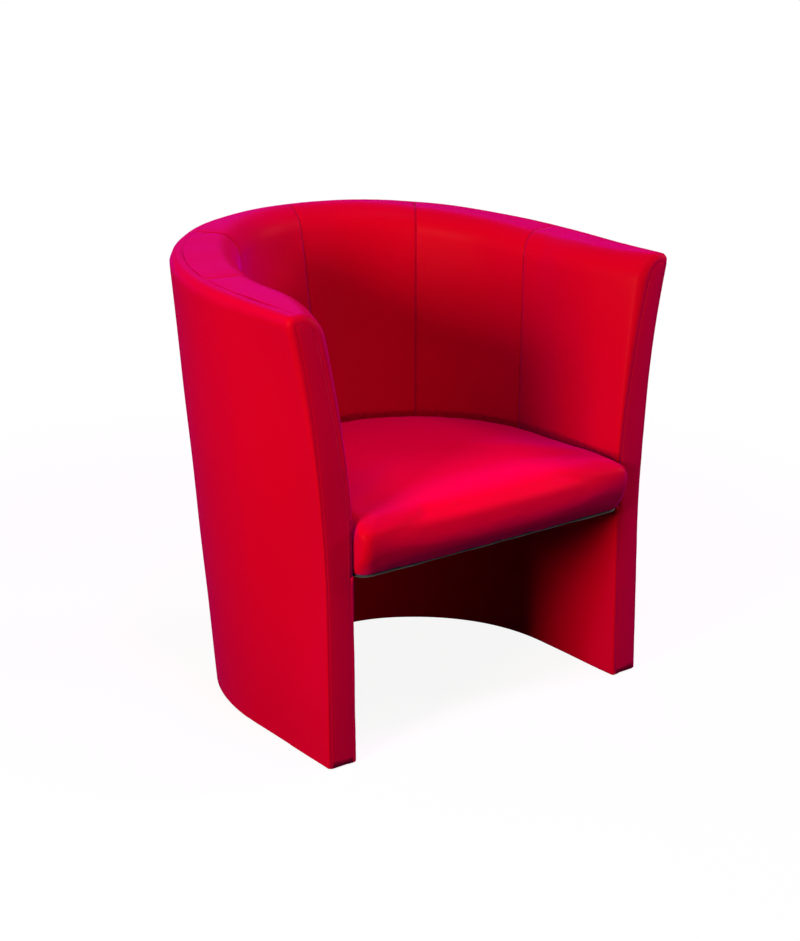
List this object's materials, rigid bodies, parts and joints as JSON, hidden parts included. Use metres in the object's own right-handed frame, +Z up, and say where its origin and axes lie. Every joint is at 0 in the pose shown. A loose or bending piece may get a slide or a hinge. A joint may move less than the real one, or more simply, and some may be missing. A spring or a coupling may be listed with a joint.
{
  "type": "slipper chair",
  "caption": "Tub-shaped armchair upholstered in red leathercloth: one padded wall wraps from arm to arm round a crowned seat cushion on a fixed platform.",
  "frame": {"origin": "on the floor at the middle of the chair's plan", "axes": "+Z is up, -Y is the way the open front faces, +X is the sitter's left hand side"},
  "size_m": [0.7416, 0.6048, 0.741],
  "materials": {
    "red_leathercloth": "satin",
    "foam": "matte",
    "wadding": "matte",
    "edge_card": "matte",
    "hardboard": "matte",
    "plywood": "matte",
    "softwood": "matte",
    "webbing": "matte",
    "black_cloth": "matte",
    "screw_steel": "satin",
    "glide_plastic": "matte"
  },
  "bodies": {
    "root": {"outer_cover": "red_leathercloth", "arm_panel_left": "red_leathercloth", "arm_panel_right": "red_leathercloth", "side_panel_left": "red_leathercloth", "side_panel_right": "red_leathercloth", "back_panel_left": "red_leathercloth", "back_panel_right": "red_leathercloth", "arm_facing_left": "red_leathercloth", "arm_facing_right": "red_leathercloth", "lower_inside_cover": "red_leathercloth", "edge_strip": "edge_card", "outer_wadding": "wadding", "tub_foam": "foam", "lower_wadding": "wadding", "arm_face_foam_left": "foam", "arm_face_foam_right": "foam", "outer_board": "hardboard", "inside_board": "hardboard", "lower_board": "hardboard", "base_rail": "plywood", "top_rail": "plywood", "front_post_left": "softwood", "front_post_right": "softwood", "side_post_left": "softwood", "side_post_right": "softwood", "quarter_post_left": "softwood", "quarter_post_right": "softwood", "back_post_left": "softwood", "back_post_right": "softwood", "seat_platform": "plywood", "seat_frame": "plywood", "webbing_lengthwise": "webbing", "webbing_crosswise": "webbing", "seat_foam": "foam", "seat_cover": "red_leathercloth", "dust_cover": "black_cloth", "base_screws": "screw_steel", "top_screws": "screw_steel", "platform_screws": "screw_steel", "seat_screws": "screw_steel", "floor_glides": "glide_plastic"}
  },
  "joints": []
}
